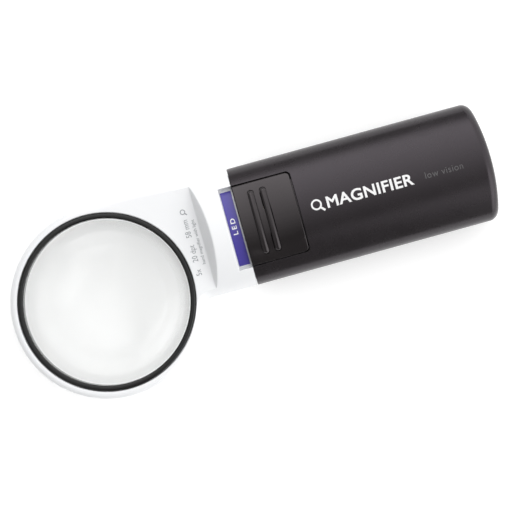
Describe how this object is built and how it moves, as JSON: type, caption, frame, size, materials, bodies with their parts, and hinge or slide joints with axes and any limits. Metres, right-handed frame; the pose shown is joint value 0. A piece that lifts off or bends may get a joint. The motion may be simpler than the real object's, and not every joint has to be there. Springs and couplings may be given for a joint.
{
  "type": "low vision magnifier",
  "caption": "Hand magnifier with a round lens in a flat white head set off to one side of a black oval grip, with a slide switch and a built-in light.",
  "frame": {"origin": "under the middle of the magnifier, on the flat underside of the grip", "axes": "+X along the grip to its closed end, +Y to the straight side of the head, +Z to the side with the switch"},
  "size_m": [0.176, 0.0678, 0.0264],
  "materials": {
    "grip_black": "satin moulded, very fine texture",
    "slider_black": "satin, slightly glossier than the grip",
    "inner_black": "plain moulded",
    "head_white": "smooth semi-gloss",
    "lens_clear": "polished clear acrylic",
    "ring_black": "glossy",
    "label_blue": "printed, smooth",
    "board_green": "solder mask",
    "component_black": "moulded",
    "led_clear": "clear epoxy",
    "window_clear": "polished clear acrylic",
    "steel": "zinc plated",
    "contact_metal": "nickel-plated brass",
    "wire_red": "smooth insulation",
    "wire_black": "smooth insulation",
    "cell_wrap": "plain wrapped steel can"
  },
  "bodies": {
    "grip": {"grip_sleeve": "grip_black", "switch_guide": "inner_black", "switch_contact_front": "contact_metal", "switch_contact_rear": "contact_metal", "battery_carrier": "inner_black", "cell_left": "cell_wrap", "cell_middle": "cell_wrap", "cell_right": "cell_wrap", "front_contact_negative": "contact_metal", "front_contact_link": "contact_metal", "rear_contact_link": "contact_metal", "return_strip": "contact_metal", "battery_springs": "steel"},
    "slider": {"switch_slider": "slider_black", "slider_bridge_contact": "contact_metal"},
    "head": {"head_top_shell": "head_white", "head_bottom_shell": "head_white", "lens": "lens_clear", "lens_retaining_ring": "ring_black", "led_label": "label_blue", "led_board": "board_green", "led_resistor": "component_black", "led": "led_clear", "light_window": "window_clear", "head_screws": "steel", "head_contact_positive": "contact_metal", "head_contact_negative": "contact_metal", "head_wire_positive": "wire_red", "head_wire_negative": "wire_black"}
  },
  "joints": [
    {"name": "switch_slide", "type": "slide", "parent": "grip", "child": "slider", "axis": [-1, 0, 0], "range_m": [0, 0.0042]},
    {"name": "head_pull", "type": "slide", "parent": "grip", "child": "head", "axis": [-1, 0, 0], "range_m": [0, 0.03]}
  ]
}
